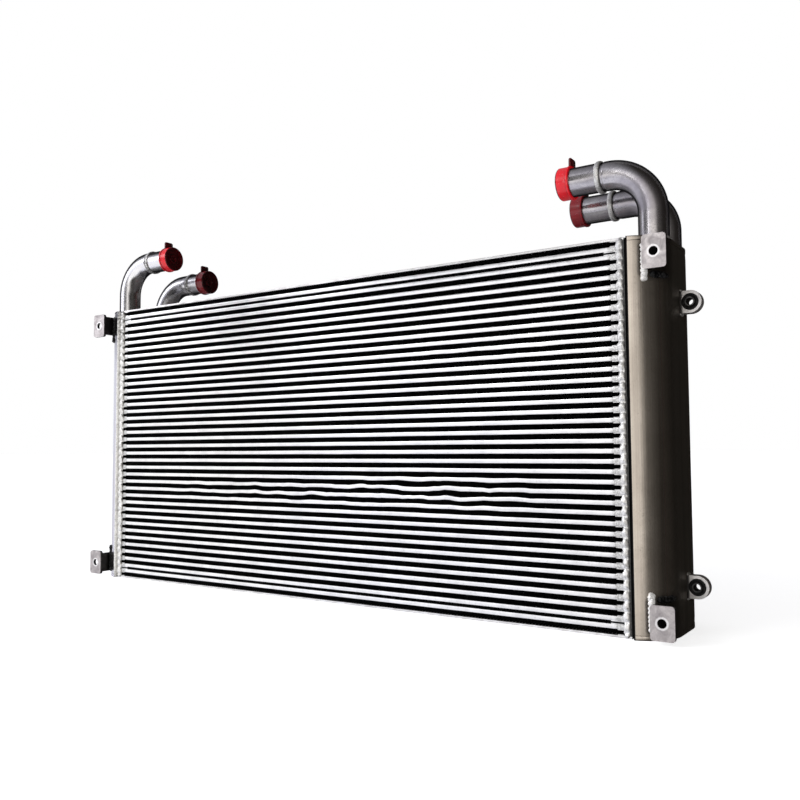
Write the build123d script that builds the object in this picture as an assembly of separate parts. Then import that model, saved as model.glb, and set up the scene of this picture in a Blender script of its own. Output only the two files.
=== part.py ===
from build123d import *
import os

# Air-blast oil cooler of bar-and-plate construction, in millimetres.
# Frame: +X to the right as seen from the front, +Y towards the back, +Z up.
# Origin: centre of the pattern of four bolt holes, in the plane of the front bracket faces.
# Air passes front to back through the fin rows; oil passes left to right between them.
# Every piece on the right-hand side is modelled once and mirrored to the left.

# ---- core stack ----
AIR_ROWS = 39                 # fin rows, counted from the bottom
NARROW_ROWS = (1, 37)         # the second row from each end is lower than the others
FIN_HEIGHT = 7.4
NARROW_FIN_HEIGHT = 4.6
OIL_GAP = 4.0                 # height of an oil passage and of the bars that close it
SHEET_THICKNESS = 0.6
SIDE_PLATE_THICKNESS = 3.0
CORE_FRONT_Y = 18.0
CORE_DEPTH = 140.0
AIR_HALF_WIDTH = 465.0        # half width of the open air rows
CORE_HALF_WIDTH = 475.0       # half width over the bars that close the air rows
OIL_BAR_DEPTH = 8.0
END_BAR_LIP_LENGTH = 8.0      # lips of the end bars, reaching into the air row
NARROW_LIP_LENGTH = 16.0
END_BAR_LIP_THICKNESS = 1.3

# ---- fins ----
FIN_STRIP_THICKNESS = 0.5
FIN_WAVES = 20
FIN_RECESS = 1.5              # fins stop short of the core's front and back faces
TURBULATOR_WAVES = 10
TURBULATOR_THICKNESS = 0.4
TURBULATOR_HALF_LENGTH = 470.0
BRAZE_GAP = 0.05              # gap left between fin crests and sheets

# ---- tanks ----
TANK_FRONT_Y = 12.0
TANK_BACK_Y = 168.0
TANK_OUTER_X = 521.0
TANK_CORNER_RADIUS = 52.0
TANK_WALL = 4.0
TANK_LIP_X = 478.5            # the tank's edges stand off the core by a narrow groove
TANK_TONGUE_SETBACK = 8.0     # depth from the tank's outer face to the tongue in the groove
TANK_TONGUE_THICKNESS = 4.0
TANK_TONGUE_REACH = 8.0
TANK_CAP_THICKNESS = 6.0

# ---- seam welds along the edges of the core ----
SEAM_WIDTH = 11.0
SEAM_HEIGHT = 3.2

# ---- pipes ----
PIPE_RADIUS = 19.05           # 1.5 inch tube
PIPE_WALL = 3.0
FRONT_PIPE = {"x": 500.5, "y": 57.5, "z": 336.0, "bend": 56.0, "joint": 440.0, "tip": 377.5}
RIGHT_REAR_PIPE = {"x": 494.5, "y": 133.0, "z": 318.0, "bend": 46.0, "joint": 430.5, "tip": 366.5}
LEFT_REAR_PIPE = {"x": 494.5, "y": 136.0, "z": 304.5, "bend": 58.0, "joint": 419.5, "tip": 366.5}
RIGHT_PIPES = {"front": FRONT_PIPE, "rear": RIGHT_REAR_PIPE}
LEFT_PIPES = {"front": FRONT_PIPE, "rear": LEFT_REAR_PIPE}    # mirrored; the rear one sits lower
JOINT_GROOVE = 3.0
JOINT_SLEEVE = 4.0            # length of the spigot's neck inside the elbow
COLLAR_WIDTH = 7.0
COLLAR_HEIGHT = 1.8
LAND_RADIUS = 17.55           # seat of the collar and floor of the groove behind it
LEAD_RADIUS = 18.55           # turned-down end of the spigot, under the cap
BASE_WELD = 2.2

# ---- push-on port caps ----
CAP_LENGTH = 18.0
CAP_WALL = 2.9
CAP_CLEARANCE = 0.2           # radial slip clearance over the spigot's turned-down end
CAP_RECESS_DEPTH = 6.0
CAP_FLOOR = 3.0
CAP_RIM_WIDTH = 3.0
CAP_RIM_HEIGHT = 0.9
CAP_BOSS_RADIUS = 8.0
CAP_BOSS_HEIGHT = 3.5
TAB_WIDTH = 18.0
TAB_HEIGHT = 10.5
TAB_THICKNESS = 3.0

# ---- front brackets ----
BRACKET_HOLE_X = 516.0        # half of the horizontal hole spacing
BRACKET_HOLE_Z = 217.5        # half of the vertical hole spacing
BRACKET_HOLE_RADIUS = 5.5
BRACKET_INNER_X = 502.0
BRACKET_WIDTH = 29.0
BRACKET_HEIGHT = 41.0
BRACKET_THICKNESS = 5.0
BRACKET_CORNER = 4.0
BRACKET_FLANGE_DEPTH = 34.0
BEAD_RADIUS = 2.6
BEAD_OVERRUN = 7.0            # the bead runs past the bracket towards mid height
BEAD_END_RADIUS = 3.8

# ---- side ears with rubber bushes ----
EAR_X = 533.5
EAR_Z = (168.0, -187.0)
EAR_RADIUS = 14.5
EAR_FRONT_Y = 90.0
EAR_THICKNESS = 12.0
BUSH_RADIUS = 10.5
SLEEVE_RADIUS = 6.25
SLEEVE_BORE_RADIUS = 4.25     # clears an M8 bolt
SLEEVE_STANDOUT = 2.0
EAR_WELD = 3.0


def row_height(row):
    """Height of one fin row."""
    if row in NARROW_ROWS:
        return NARROW_FIN_HEIGHT
    return FIN_HEIGHT


FIN_TOTAL = sum(row_height(row) for row in range(AIR_ROWS))
OIL_ROWS = AIR_ROWS - 1
OIL_LAYER = OIL_GAP + 2 * SHEET_THICKNESS
CORE_HALF_HEIGHT = (FIN_TOTAL + OIL_ROWS * OIL_LAYER) / 2 + SIDE_PLATE_THICKNESS
CORE_BACK_Y = CORE_FRONT_Y + CORE_DEPTH
CORE_MID_Y = CORE_FRONT_Y + CORE_DEPTH / 2
TANK_MID_Y = (TANK_FRONT_Y + TANK_BACK_Y) / 2
TANK_DEPTH = TANK_BACK_Y - TANK_FRONT_Y


def fin_row_bottom(row):
    """Height of the underside of one fin row above the origin."""
    below = sum(row_height(lower) + OIL_LAYER for lower in range(row))
    return below + SIDE_PLATE_THICKNESS - CORE_HALF_HEIGHT


def oil_row_bottom(row):
    """Height of the underside of the oil passage above one fin row."""
    return fin_row_bottom(row) + row_height(row) + SHEET_THICKNESS


def block(x_range, y_range, z_range):
    """Rectangular block between three pairs of limits."""
    size = [high - low for low, high in (x_range, y_range, z_range)]
    centre = [(low + high) / 2 for low, high in (x_range, y_range, z_range)]
    return Pos(*centre) * Box(*size)


def rod_x(x_low, x_high, radius, y, z):
    """Cylinder along X."""
    return Pos((x_low + x_high) / 2, y, z) * Rot(0, 90, 0) * Cylinder(radius, x_high - x_low)


def rod_y(y_low, y_high, radius, x, z):
    """Cylinder along Y."""
    return Pos(x, (y_low + y_high) / 2, z) * Rot(90, 0, 0) * Cylinder(radius, y_high - y_low)


def rod_z(z_low, z_high, radius, x, y):
    """Cylinder along Z."""
    return Pos(x, y, (z_low + z_high) / 2) * Cylinder(radius, z_high - z_low)


def group(shapes):
    """One compound that keeps every solid separate."""
    return Compound([solid for shape in shapes for solid in shape.solids()])


def to_left(shape):
    """Mirror image of a right-hand piece."""
    return mirror(shape, about=Plane.YZ)


def wave_face(length, waves, height, thickness):
    """Face of a zigzag strip, centred on the origin, that fills a given height."""
    swing = (height - thickness) / 2
    count = 2 * waves
    crest = []
    for step in range(count + 1):
        x = length * (step / count - 0.5)
        crest.append((x, swing if step % 2 else -swing))
    top = [(x, z + thickness / 2) for x, z in crest]
    bottom = [(x, z - thickness / 2) for x, z in reversed(crest)]
    return make_face(Polyline(*top, *bottom, close=True))


# ---- core ----

def air_fins():
    """One corrugated strip in each air row."""
    depth = CORE_DEPTH - 2 * FIN_RECESS
    plane = Plane.XZ.offset(-(CORE_BACK_Y - FIN_RECESS))
    lips = {FIN_HEIGHT: END_BAR_LIP_LENGTH, NARROW_FIN_HEIGHT: NARROW_LIP_LENGTH}
    strips = {}
    for height, lip_length in lips.items():
        length = 2 * (AIR_HALF_WIDTH - lip_length) - 2
        face = wave_face(length, FIN_WAVES, height - 2 * BRAZE_GAP, FIN_STRIP_THICKNESS)
        strips[height] = extrude(plane * face, amount=depth)
    rows = []
    for row in range(AIR_ROWS):
        height = row_height(row)
        rows.append(Pos(0, 0, fin_row_bottom(row) + height / 2) * strips[height])
    return group(rows)


def oil_turbulators():
    """One corrugated strip inside each oil passage."""
    length = CORE_DEPTH - 2 * OIL_BAR_DEPTH - 2
    height = OIL_GAP - 2 * BRAZE_GAP
    face = wave_face(length, TURBULATOR_WAVES, height, TURBULATOR_THICKNESS)
    plane = Plane.YZ.offset(-TURBULATOR_HALF_LENGTH)
    strip = Pos(0, CORE_MID_Y, 0) * extrude(plane * face, amount=2 * TURBULATOR_HALF_LENGTH)
    return group(Pos(0, 0, oil_row_bottom(row) + OIL_GAP / 2) * strip for row in range(OIL_ROWS))


def parting_sheets():
    """Thin sheets below and above every oil passage."""
    sheet = Pos(0, CORE_MID_Y, 0) * Box(2 * CORE_HALF_WIDTH, CORE_DEPTH, SHEET_THICKNESS)
    sheets = []
    for row in range(OIL_ROWS):
        bottom = oil_row_bottom(row)
        sheets.append(Pos(0, 0, bottom - SHEET_THICKNESS / 2) * sheet)
        sheets.append(Pos(0, 0, bottom + OIL_GAP + SHEET_THICKNESS / 2) * sheet)
    return group(sheets)


def oil_bars(y_low):
    """Long bars that close the oil passages along one face of the core."""
    bar = Pos(0, y_low + OIL_BAR_DEPTH / 2, 0) * Box(2 * CORE_HALF_WIDTH, OIL_BAR_DEPTH, OIL_GAP)
    return group(Pos(0, 0, oil_row_bottom(row) + OIL_GAP / 2) * bar for row in range(OIL_ROWS))


def end_bar(height, lip_length):
    """Bar that closes one end of an air row, with two lips and a rounded channel between them."""
    half = height / 2
    channel = half - END_BAR_LIP_THICKNESS
    lip_x = AIR_HALF_WIDTH - lip_length
    outer = Pos((lip_x + CORE_HALF_WIDTH) / 2, 0) * Rectangle(CORE_HALF_WIDTH - lip_x, height)
    slot = Pos((lip_x + AIR_HALF_WIDTH) / 2, 0) * Rectangle(lip_length, 2 * channel)
    round_end = Pos(AIR_HALF_WIDTH, 0) * Circle(channel)
    return extrude(Plane.XZ.offset(-CORE_BACK_Y) * (outer - slot - round_end), amount=CORE_DEPTH)


def end_bars():
    """The right-hand end bars of all air rows."""
    wide = end_bar(FIN_HEIGHT, END_BAR_LIP_LENGTH)
    narrow = end_bar(NARROW_FIN_HEIGHT, NARROW_LIP_LENGTH)
    bars = []
    for row in range(AIR_ROWS):
        bar = narrow if row in NARROW_ROWS else wide
        bars.append(Pos(0, 0, fin_row_bottom(row) + row_height(row) / 2) * bar)
    return group(bars)


def side_plate(z_low):
    """Flat plate that closes the stack at the top or at the bottom."""
    x_range = (-CORE_HALF_WIDTH, CORE_HALF_WIDTH)
    return block(x_range, (CORE_FRONT_Y, CORE_BACK_Y), (z_low, z_low + SIDE_PLATE_THICKNESS))


# ---- tanks ----

def tank_section(inner_x, inset):
    """D-shaped section of the right tank, moved inwards by a given inset."""
    inner_limit = TANK_OUTER_X - TANK_CORNER_RADIUS - 5
    width = TANK_OUTER_X - inset - inner_limit
    depth = TANK_DEPTH - 2 * inset
    whole = Pos(inner_limit + width / 2, TANK_MID_Y) * Rectangle(width, depth)
    outer_corners = whole.vertices().group_by(Axis.X)[-1]
    whole = fillet(outer_corners, TANK_CORNER_RADIUS - inset)
    kept = Pos(inner_x + width / 2, TANK_MID_Y) * Rectangle(width, 2 * depth)
    return whole & kept


def upright(face, z_low, z_high):
    """Vertical extrusion of a face between two heights."""
    return extrude(Pos(0, 0, z_low) * face, amount=z_high - z_low)


def tank_tongues(z_low, z_high):
    """Two strips that carry the tank's edges onto the end of the core."""
    front_y = TANK_FRONT_Y + TANK_TONGUE_SETBACK
    back_y = TANK_BACK_Y - TANK_TONGUE_SETBACK
    reach_x = (CORE_HALF_WIDTH, CORE_HALF_WIDTH + TANK_TONGUE_REACH)
    web_x = (TANK_LIP_X + 1, reach_x[1])
    strips = [
        block(reach_x, (front_y, front_y + TANK_TONGUE_THICKNESS), (z_low, z_high)),
        block(reach_x, (back_y - TANK_TONGUE_THICKNESS, back_y), (z_low, z_high)),
        block(web_x, (TANK_FRONT_Y + 2, front_y + TANK_TONGUE_THICKNESS), (z_low, z_high)),
        block(web_x, (back_y - TANK_TONGUE_THICKNESS, TANK_BACK_Y - 2), (z_low, z_high)),
    ]
    return strips[0] + strips[1] + strips[2] + strips[3]


def tank():
    """Hollow D-shaped tank, open towards the core and at both ends."""
    z_high = CORE_HALF_HEIGHT - TANK_CAP_THICKNESS
    outside = upright(tank_section(TANK_LIP_X, 0), -z_high, z_high)
    inside = upright(tank_section(TANK_LIP_X - 1, TANK_WALL), -z_high, z_high)
    return outside - inside + tank_tongues(-z_high, z_high)


def tank_end(z_low):
    """Plate that closes one end of a tank and laps against the core."""
    z_high = z_low + TANK_CAP_THICKNESS
    front_y = TANK_FRONT_Y + TANK_TONGUE_SETBACK
    back_y = TANK_BACK_Y - TANK_TONGUE_SETBACK
    tongue = block((CORE_HALF_WIDTH, TANK_LIP_X + 1), (front_y, back_y), (z_low, z_high))
    return upright(tank_section(TANK_LIP_X, 0), z_low, z_high) + tongue


def tank_top(pipes):
    """Upper end plate with the two openings under the pipes."""
    plate = tank_end(CORE_HALF_HEIGHT - TANK_CAP_THICKNESS)
    for pipe in pipes.values():
        z_low = CORE_HALF_HEIGHT - 2 * TANK_CAP_THICKNESS
        plate -= rod_z(z_low, CORE_HALF_HEIGHT + 1, PIPE_RADIUS - PIPE_WALL, pipe["x"], pipe["y"])
    return plate


def seam(y_face, direction):
    """Upright weld bead on the front or back edge of the core, flat on one side."""
    centre_x = CORE_HALF_WIDTH + 1 - SEAM_WIDTH / 2
    bulge = SEAM_HEIGHT * direction
    left = (centre_x - SEAM_WIDTH / 2, y_face)
    right = (centre_x + SEAM_WIDTH / 2 - 1, y_face)
    crown = (centre_x, y_face - bulge)
    outline = ThreePointArc(left, crown, right) + Line(right, left)
    return upright(make_face(outline), -CORE_HALF_HEIGHT, CORE_HALF_HEIGHT)


def core_seams():
    """Weld beads down the front and back edges of the core."""
    return group([seam(CORE_FRONT_Y, 1), seam(CORE_BACK_Y, -1)])


# ---- pipes ----

def elbow(pipe):
    """Tube that rises from the tank and bends inwards over the core."""
    start = (pipe["x"], pipe["y"], CORE_HALF_HEIGHT)
    corner = (pipe["x"], pipe["y"], pipe["z"])
    finish = (pipe["joint"], pipe["y"], pipe["z"])
    path = FilletPolyline(start, corner, finish, radius=pipe["bend"])
    foot = Plane(origin=start, z_dir=(0, 0, 1))
    outside = sweep(foot * Circle(PIPE_RADIUS), path=path)
    inside = sweep(foot * Circle(PIPE_RADIUS - PIPE_WALL), path=path)
    return outside - inside


def spigot(pipe):
    """Straight tube that a hose pushes onto, with a thin neck that seats in the elbow."""
    y, z = pipe["y"], pipe["z"]
    tip_x = pipe["tip"] + CAP_RECESS_DEPTH + CAP_FLOOR + CAP_CLEARANCE
    mouth_x = pipe["tip"] + CAP_LENGTH
    shoulder_x = pipe["joint"] - JOINT_GROOVE - COLLAR_WIDTH
    neck_radius = PIPE_RADIUS - PIPE_WALL
    lead = rod_x(tip_x, mouth_x, LEAD_RADIUS, y, z)
    body = rod_x(mouth_x, shoulder_x, PIPE_RADIUS, y, z)
    land = rod_x(shoulder_x, pipe["joint"], LAND_RADIUS, y, z)
    neck = rod_x(pipe["joint"], pipe["joint"] + JOINT_SLEEVE, neck_radius, y, z)
    bore = rod_x(tip_x - 1, pipe["joint"] + JOINT_SLEEVE + 1, neck_radius - 2, y, z)
    return lead + body + land + neck - bore


def collar(pipe):
    """Raised ring at the root of the spigot."""
    y, z = pipe["y"], pipe["z"]
    high_x = pipe["joint"] - JOINT_GROOVE
    ring = rod_x(high_x - COLLAR_WIDTH, high_x, PIPE_RADIUS + COLLAR_HEIGHT, y, z)
    ring = fillet(ring.edges().filter_by(GeomType.CIRCLE), COLLAR_HEIGHT * 0.8)
    return ring - rod_x(high_x - COLLAR_WIDTH - 1, high_x + 1, LAND_RADIUS, y, z)


def base_weld(pipe):
    """Fillet weld around the foot of a pipe."""
    cone = Cone(PIPE_RADIUS + BASE_WELD, PIPE_RADIUS + 0.3, BASE_WELD)
    ring = Pos(pipe["x"], pipe["y"], CORE_HALF_HEIGHT + BASE_WELD / 2) * cone
    hole = rod_z(CORE_HALF_HEIGHT - 1, CORE_HALF_HEIGHT + 9, PIPE_RADIUS, pipe["x"], pipe["y"])
    return ring - hole


def port_cap(pipe):
    """Push-on cap with a recessed end, a rim at its mouth and a pull tab on top."""
    y, z, tip = pipe["y"], pipe["z"], pipe["tip"]
    mouth = tip + CAP_LENGTH
    bore_radius = LEAD_RADIUS + CAP_CLEARANCE
    outer_radius = bore_radius + CAP_WALL
    floor_x = tip + CAP_RECESS_DEPTH
    barrel = rod_x(tip, mouth, outer_radius, y, z)
    barrel = chamfer(barrel.edges().group_by(Axis.X)[0], 1.5)
    rim = rod_x(mouth - CAP_RIM_WIDTH, mouth, outer_radius + CAP_RIM_HEIGHT, y, z)
    tab_top = z + outer_radius + TAB_HEIGHT
    tab_y = (y - TAB_WIDTH / 2, y + TAB_WIDTH / 2)
    tab = block((mouth - TAB_THICKNESS, mouth), tab_y, (z, tab_top))
    tab = fillet(tab.edges().filter_by(Axis.X).group_by(Axis.Z)[-1], 3)
    boss = rod_x(floor_x - CAP_BOSS_HEIGHT, floor_x + 1, CAP_BOSS_RADIUS, y, z)
    dimple = rod_x(tip - 1, floor_x, CAP_BOSS_RADIUS - 3, y, z)
    recess = rod_x(tip - 1, floor_x, outer_radius - CAP_WALL, y, z)
    socket = rod_x(floor_x + CAP_FLOOR, mouth + 1, bore_radius, y, z)
    return barrel + rim + tab - recess - socket + (boss - dimple)


# ---- front brackets ----

def bracket(level):
    """Folded bracket with one bolt hole; level is +1 for the upper one and -1 for the lower."""
    centre_z = level * BRACKET_HOLE_Z
    centre_x = BRACKET_INNER_X + BRACKET_WIDTH / 2
    z_range = (centre_z - BRACKET_HEIGHT / 2, centre_z + BRACKET_HEIGHT / 2)
    face = Pos(centre_x, centre_z) * RectangleRounded(BRACKET_WIDTH, BRACKET_HEIGHT, BRACKET_CORNER)
    plate = extrude(Plane.XZ.offset(-BRACKET_THICKNESS) * face, amount=BRACKET_THICKNESS)
    flange_x = (BRACKET_INNER_X, BRACKET_INNER_X + BRACKET_THICKNESS)
    flange_z = (z_range[0] + BRACKET_CORNER, z_range[1] - BRACKET_CORNER)
    flange = block(flange_x, (BRACKET_THICKNESS / 2, BRACKET_FLANGE_DEPTH), flange_z)
    flange -= upright(tank_section(TANK_LIP_X, 0), -CORE_HALF_HEIGHT, CORE_HALF_HEIGHT)
    hole = rod_y(-1, BRACKET_THICKNESS + 1, BRACKET_HOLE_RADIUS, BRACKET_HOLE_X, centre_z)
    return plate + flange - hole


def bracket_bead(level):
    """Weld bead in the corner between a bracket flange and the tank, with a blob at one end."""
    x = BRACKET_INNER_X - BEAD_RADIUS / 2
    y = TANK_FRONT_Y + 7
    end_z = level * (BRACKET_HOLE_Z - BRACKET_HEIGHT / 2 - BEAD_OVERRUN)
    far_z = level * (BRACKET_HOLE_Z + BRACKET_HEIGHT / 2 - BRACKET_CORNER)
    bead = rod_z(min(end_z, far_z), max(end_z, far_z), BEAD_RADIUS, x, y)
    bead += Pos(x, y, end_z) * Sphere(BEAD_END_RADIUS)
    bead -= upright(tank_section(TANK_LIP_X, 0), -CORE_HALF_HEIGHT, CORE_HALF_HEIGHT)
    return bead - bracket(level)


# ---- side ears ----

def ear(z):
    """Plate on the tank's side wall with a round eye for a rubber bush."""
    y_range = (EAR_FRONT_Y, EAR_FRONT_Y + EAR_THICKNESS)
    plate = block((TANK_OUTER_X, EAR_X), y_range, (z - EAR_RADIUS, z + EAR_RADIUS))
    plate += rod_y(*y_range, EAR_RADIUS, EAR_X, z)
    plate -= block((EAR_X - 2 * EAR_RADIUS, TANK_OUTER_X), y_range, (z - EAR_RADIUS, z + EAR_RADIUS))
    return plate - rod_y(y_range[0] - 1, y_range[1] + 1, BUSH_RADIUS, EAR_X, z)


def bush(z):
    """Rubber bush in the eye of an ear."""
    y_range = (EAR_FRONT_Y, EAR_FRONT_Y + EAR_THICKNESS)
    rubber = rod_y(*y_range, BUSH_RADIUS, EAR_X, z)
    return rubber - rod_y(y_range[0] - 1, y_range[1] + 1, SLEEVE_RADIUS, EAR_X, z)


def bush_sleeve(z):
    """Steel sleeve through a bush."""
    y_low = EAR_FRONT_Y - SLEEVE_STANDOUT
    y_high = EAR_FRONT_Y + EAR_THICKNESS + SLEEVE_STANDOUT
    sleeve = rod_y(y_low, y_high, SLEEVE_RADIUS, EAR_X, z)
    return sleeve - rod_y(y_low - 1, y_high + 1, SLEEVE_BORE_RADIUS, EAR_X, z)


def ear_weld(z):
    """Triangular fillet weld above and below an ear, on the tank's side wall."""
    y_range = (EAR_FRONT_Y, EAR_FRONT_Y + EAR_THICKNESS)
    welds = []
    for direction in (-1, 1):
        edge_z = z + direction * EAR_RADIUS
        corners = [
            (TANK_OUTER_X, edge_z),
            (TANK_OUTER_X + EAR_WELD, edge_z),
            (TANK_OUTER_X, edge_z + direction * EAR_WELD),
        ]
        face = make_face(Polyline(*corners, close=True))
        welds.append(extrude(Plane.XZ.offset(-y_range[1]) * face, amount=EAR_THICKNESS))
    return group(welds)


# ---- assembly ----

def both_sides(name, shape):
    """A right-hand node and its mirror image."""
    return {f"right_{name}": shape, f"left_{name}": to_left(shape)}


def on_both_sides(shapes):
    """One node that holds right-hand solids and their mirror images."""
    right = group(shapes)
    return group([right, to_left(right)])


def pipe_nodes(pipes):
    """Tank top and everything that belongs to its pipes, as built for the right-hand side."""
    nodes = {"tank_top": tank_top(pipes)}
    for place, pipe in pipes.items():
        nodes[f"{place}_elbow"] = elbow(pipe)
        nodes[f"{place}_spigot"] = spigot(pipe)
        nodes[f"{place}_collar"] = collar(pipe)
        nodes[f"{place}_port_cap"] = port_cap(pipe)
    return nodes


def pipe_base_welds():
    """Welds around the feet of all four pipes."""
    right = [base_weld(pipe) for pipe in RIGHT_PIPES.values()]
    left = [to_left(base_weld(pipe)) for pipe in LEFT_PIPES.values()]
    return group(right + left)


def all_nodes():
    """Every node of the cooler by name."""
    nodes = {
        "air_fins": air_fins(),
        "oil_turbulators": oil_turbulators(),
        "parting_sheets": parting_sheets(),
        "front_oil_bars": oil_bars(CORE_FRONT_Y),
        "rear_oil_bars": oil_bars(CORE_BACK_Y - OIL_BAR_DEPTH),
        "top_side_plate": side_plate(CORE_HALF_HEIGHT - SIDE_PLATE_THICKNESS),
        "bottom_side_plate": side_plate(-CORE_HALF_HEIGHT),
    }
    nodes.update(both_sides("end_bars", end_bars()))
    nodes.update(both_sides("tank", tank()))
    nodes.update(both_sides("tank_bottom", tank_end(-CORE_HALF_HEIGHT)))
    nodes.update(both_sides("core_seams", core_seams()))
    for name, shape in pipe_nodes(RIGHT_PIPES).items():
        nodes[f"right_{name}"] = shape
    for name, shape in pipe_nodes(LEFT_PIPES).items():
        nodes[f"left_{name}"] = to_left(shape)
    for place, level in (("upper", 1), ("lower", -1)):
        nodes.update(both_sides(f"{place}_bracket", bracket(level)))
    for place, z in zip(("upper", "lower"), EAR_Z):
        nodes.update(both_sides(f"{place}_ear", ear(z)))
    nodes["pipe_base_welds"] = pipe_base_welds()
    nodes["bracket_welds"] = on_both_sides([bracket_bead(1), bracket_bead(-1)])
    nodes["ear_welds"] = on_both_sides([ear_weld(z) for z in EAR_Z])
    nodes["ear_bushes"] = on_both_sides([bush(z) for z in EAR_Z])
    nodes["ear_bush_sleeves"] = on_both_sides([bush_sleeve(z) for z in EAR_Z])
    return nodes


os.makedirs("parts", exist_ok=True)
for node_name, node_shape in all_nodes().items():
    export_step(node_shape, f"parts/{node_name}.step")
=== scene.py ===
import math
import bpy
from mathutils import Euler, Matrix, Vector, noise


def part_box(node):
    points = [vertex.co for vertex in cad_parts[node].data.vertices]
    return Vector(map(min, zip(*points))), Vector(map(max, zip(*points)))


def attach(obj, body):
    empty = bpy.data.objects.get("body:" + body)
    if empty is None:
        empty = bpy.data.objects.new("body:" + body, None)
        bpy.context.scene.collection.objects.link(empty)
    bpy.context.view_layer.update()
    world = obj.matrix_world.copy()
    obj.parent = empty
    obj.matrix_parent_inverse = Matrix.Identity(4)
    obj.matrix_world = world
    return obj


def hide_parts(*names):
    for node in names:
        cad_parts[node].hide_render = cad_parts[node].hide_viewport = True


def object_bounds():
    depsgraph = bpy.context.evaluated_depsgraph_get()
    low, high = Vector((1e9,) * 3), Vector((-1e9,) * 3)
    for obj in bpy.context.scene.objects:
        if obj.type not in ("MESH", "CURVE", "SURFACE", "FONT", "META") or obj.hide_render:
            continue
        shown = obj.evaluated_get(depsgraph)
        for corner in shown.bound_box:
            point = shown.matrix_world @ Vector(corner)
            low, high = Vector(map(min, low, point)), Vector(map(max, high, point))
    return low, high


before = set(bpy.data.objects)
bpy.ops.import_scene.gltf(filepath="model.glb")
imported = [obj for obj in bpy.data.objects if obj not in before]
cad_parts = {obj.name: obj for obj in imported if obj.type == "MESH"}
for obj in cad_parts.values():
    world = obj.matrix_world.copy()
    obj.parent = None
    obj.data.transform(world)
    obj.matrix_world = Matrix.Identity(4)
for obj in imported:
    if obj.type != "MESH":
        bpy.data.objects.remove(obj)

# Looks of the oil cooler. Lengths are in metres, in the row frame: +X right, +Y back, +Z up.
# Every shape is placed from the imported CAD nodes; named sizes below only add surface detail.

cad_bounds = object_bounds()
MM = 0.001
SIDES = {"left": -1, "right": 1}
scene = bpy.context.scene


def reaches(node):
    """Nearest and farthest distance of a CAD node from the mid plane."""
    low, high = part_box(node)
    return sorted((abs(low.x), abs(high.x)))


# ---------------------------------------------------------------- mesh helpers

def plain_object(name, verts, faces, material):
    mesh = bpy.data.meshes.new(name)
    mesh.from_pydata([tuple(v) for v in verts], [], faces)
    mesh.materials.append(material)
    made = bpy.data.objects.new(name, mesh)
    scene.collection.objects.link(made)
    return made


def add_piece(name, verts, faces, material, stands_for, body="cooler", slot=None, sharp=40):
    """Mesh object that stands for a CAD node and rides on its body, smooth except over sharp edges.

    The slot argument is not used.
    """
    piece = plain_object(name, verts, faces, material)
    piece.data.validate()
    piece.data.shade_smooth()
    piece.data.set_sharp_from_angle(angle=math.radians(sharp))
    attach(piece, body)
    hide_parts(stands_for)
    return piece


def join_parts(parts):
    """One vertex list and one face list from several (verts, faces) pairs."""
    verts, faces = [], []
    for part_verts, part_faces in parts:
        start = len(verts)
        verts.extend(part_verts)
        faces.extend(tuple(start + i for i in face) for face in part_faces)
    return verts, faces


def loft(rings, close_rings=True, close_path=False, cap_ends=True):
    """Skin over a list of point rings of equal length."""
    verts = [point for ring in rings for point in ring]
    count = len(rings[0])
    faces = []
    steps = len(rings) if close_path else len(rings) - 1
    around = count if close_rings else count - 1
    for i in range(steps):
        low = i * count
        high = ((i + 1) % len(rings)) * count
        for j in range(around):
            k = (j + 1) % count
            faces.append((low + j, low + k, high + k, high + j))
    if cap_ends and not close_path:
        faces.append(tuple(reversed(range(count))))
        faces.append(tuple(range((len(rings) - 1) * count, len(rings) * count)))
    return verts, faces


def spun(profile, origin, axis, segments, ripple=None):
    """Copies of a profile of (distance along the axis, radius) points, spaced around the axis."""
    origin = Vector(origin)
    axis = Vector(axis).normalized()
    side = (Vector((0, 0, 1)) if abs(axis.z) < 0.9 else Vector((0, 1, 0))).cross(axis).normalized()
    other = axis.cross(side)
    rings = []
    for step in range(segments):
        angle = 2 * math.pi * step / segments
        outward = side * math.cos(angle) + other * math.sin(angle)
        ring = []
        for along, radius in profile:
            extra = ripple(angle, along, radius) if ripple else 0.0
            ring.append(origin + axis * along + outward * (radius + extra))
        rings.append(ring)
    return rings


def revolve(profile, origin, axis, segments=72, ripple=None):
    """Surface of revolution of a closed profile."""
    return loft(spun(profile, origin, axis, segments, ripple), close_path=True)


def revolve_solid(profile, origin, axis, segments=72):
    """Surface of revolution whose open profile starts and ends on the axis."""
    verts, faces = loft(spun(profile[1:-1], origin, axis, segments), close_rings=False, close_path=True)
    count = len(profile) - 2
    first = len(verts)
    verts += [Vector(origin) + Vector(axis).normalized() * along for along in (profile[0][0], profile[-1][0])]
    for step in range(segments):
        here = step * count
        there = ((step + 1) % segments) * count
        faces.append((first, there, here))
        faces.append((first + 1, here + count - 1, there + count - 1))
    return verts, faces


def rounded_profile(points, radius, steps=4):
    """The same outline with each inner corner replaced by a small arc-like curve."""
    result = []
    for i, corner in enumerate(points):
        corner = Vector((*corner, 0))
        before = Vector((*points[i - 1], 0)) - corner
        after = Vector((*points[(i + 1) % len(points)], 0)) - corner
        cut = min(radius, before.length * 0.45, after.length * 0.45)
        start = corner + before.normalized() * cut
        end = corner + after.normalized() * cut
        for step in range(steps + 1):
            t = step / steps
            point = start * (1 - t) ** 2 + corner * 2 * t * (1 - t) + end * t ** 2
            result.append((point.x, point.y))
    return result


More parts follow.
